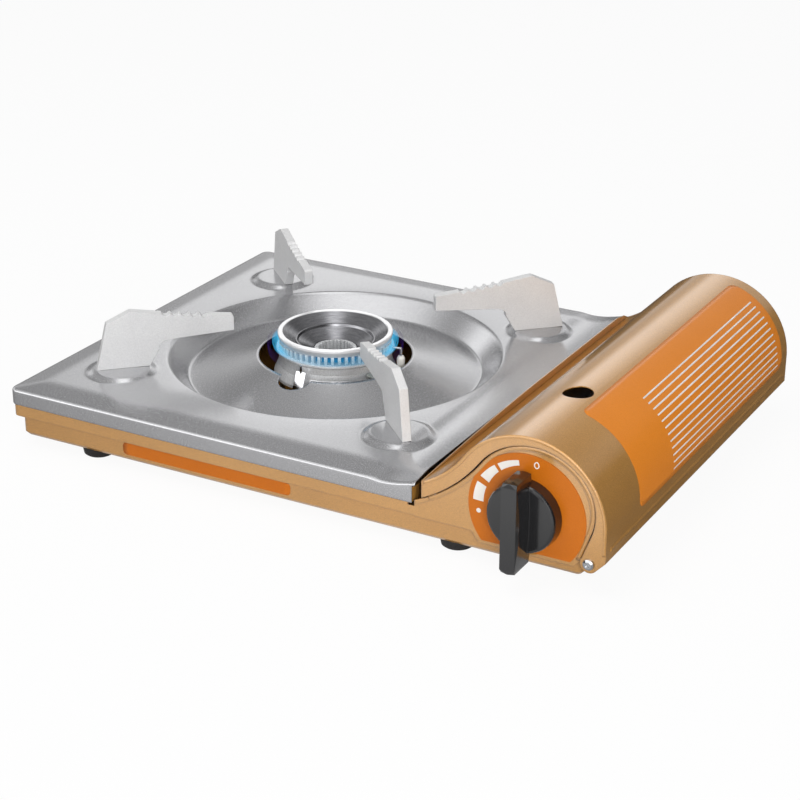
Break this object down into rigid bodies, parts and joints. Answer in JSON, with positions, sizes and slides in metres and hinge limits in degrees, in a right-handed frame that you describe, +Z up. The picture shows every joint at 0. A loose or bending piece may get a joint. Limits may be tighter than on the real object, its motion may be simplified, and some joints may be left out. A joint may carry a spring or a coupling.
{
  "type": "butane cassette stove",
  "caption": "Flat tabletop gas stove with a pressed steel top plate, drip bowl, toothed pot supports, ringed burner, and a hinged dome lid over the cartridge bay.",
  "frame": {"origin": "centre of the stove's footprint box, knob grip included, at the level of the feet's soles", "axes": "+X to the right along the stove's width, +Y to the back away from the knob, +Z up"},
  "size_m": [0.372, 0.2924, 0.0784],
  "materials": {
    "gold_paint": "fine metallic gold lacquer, satin",
    "dark_gold_paint": "gold lacquer",
    "plate_steel": "pressed stainless sheet, satin",
    "support_steel": "blasted stainless, matte",
    "burner_alloy": "die casting, smooth",
    "polished_steel": "polished",
    "plated_steel": "zinc plated sheet",
    "spring_steel": "bright spring strip and wire",
    "scaled_steel": "dark heat-stained strip",
    "cast_alloy": "die casting, matte",
    "brass": "machined",
    "black_fitting": "heat-resistant moulding",
    "black_gloss": "gloss moulding",
    "magnet": "plated disc",
    "screw_steel": "bright zinc plated",
    "seal_rubber": "moulded",
    "foot_rubber": "moulded, matte",
    "lead_rubber": "silicone-sheathed lead",
    "ceramic": "white glazed ceramic",
    "dial_orange": "printed sheet"
  },
  "bodies": {
    "base": {"base_tray": "gold_paint", "rear_panel": "gold_paint", "partition_wall": "plated_steel", "cartridge_cradle": "plated_steel", "heat_conductor": "scaled_steel", "burner_body": "burner_alloy", "flame_port_ring": "burner_alloy", "burner_cap": "polished_steel", "inner_port_ring": "burner_alloy", "burner_key": "polished_steel", "mixing_tube": "plated_steel", "air_shutter": "brass", "burner_bracket": "plated_steel", "burner_screws": "screw_steel", "gas_nozzle": "brass", "governor_body": "cast_alloy", "diaphragm_cover": "plated_steel", "governor_bracket": "plated_steel", "governor_screws": "screw_steel", "cartridge_collar": "black_fitting", "inlet_seal": "seal_rubber", "collar_magnets": "magnet", "guide_pin": "screw_steel", "igniter_body": "black_fitting", "ignition_lead": "lead_rubber", "electrode_insulator": "ceramic", "spark_electrode": "spring_steel", "electrode_bracket": "spring_steel", "dial_plate": "dial_orange", "foot_front_left": "foot_rubber", "foot_front_right": "foot_rubber", "foot_back_left": "foot_rubber", "foot_back_right": "foot_rubber", "foot_screws": "screw_steel", "panel_screws": "screw_steel", "hinge_screws": "screw_steel", "hinge_washers": "screw_steel", "catch_spring": "spring_steel"},
    "lid": {"cartridge_lid": "gold_paint", "lid_catch": "dark_gold_paint"},
    "top": {"top_plate": "plate_steel", "pot_support_front_left": "support_steel", "pot_support_front_right": "support_steel", "pot_support_back_left": "support_steel", "pot_support_back_right": "support_steel"},
    "knob": {"knob": "black_gloss", "valve_spindle": "brass", "spindle_cam": "black_fitting"},
    "plunger": {"igniter_plunger": "screw_steel"}
  },
  "joints": [
    {"name": "lid_hinge", "type": "hinge", "parent": "base", "child": "lid", "pos_m": [0.1767, 0, 0.0168], "axis": [0, 1, 0], "range_deg": [0, 95]},
    {"name": "top_plate_lift", "type": "slide", "parent": "base", "child": "top", "axis": [0, 0, 1], "range_m": [0, 0.06]},
    {"name": "knob_turn", "type": "hinge", "parent": "base", "child": "knob", "pos_m": [0.1413, -0.12575, 0.0356], "axis": [0, -1, 0], "range_deg": [0, 100]},
    {"name": "plunger_slide", "type": "slide", "parent": "base", "child": "plunger", "axis": [-1, 0, 0], "range_m": [0, 0.005]}
  ],
  "couplings": [
    {"joint": "plunger_slide", "follows": "knob_turn", "m_per_rad": 0.002864}
  ]
}
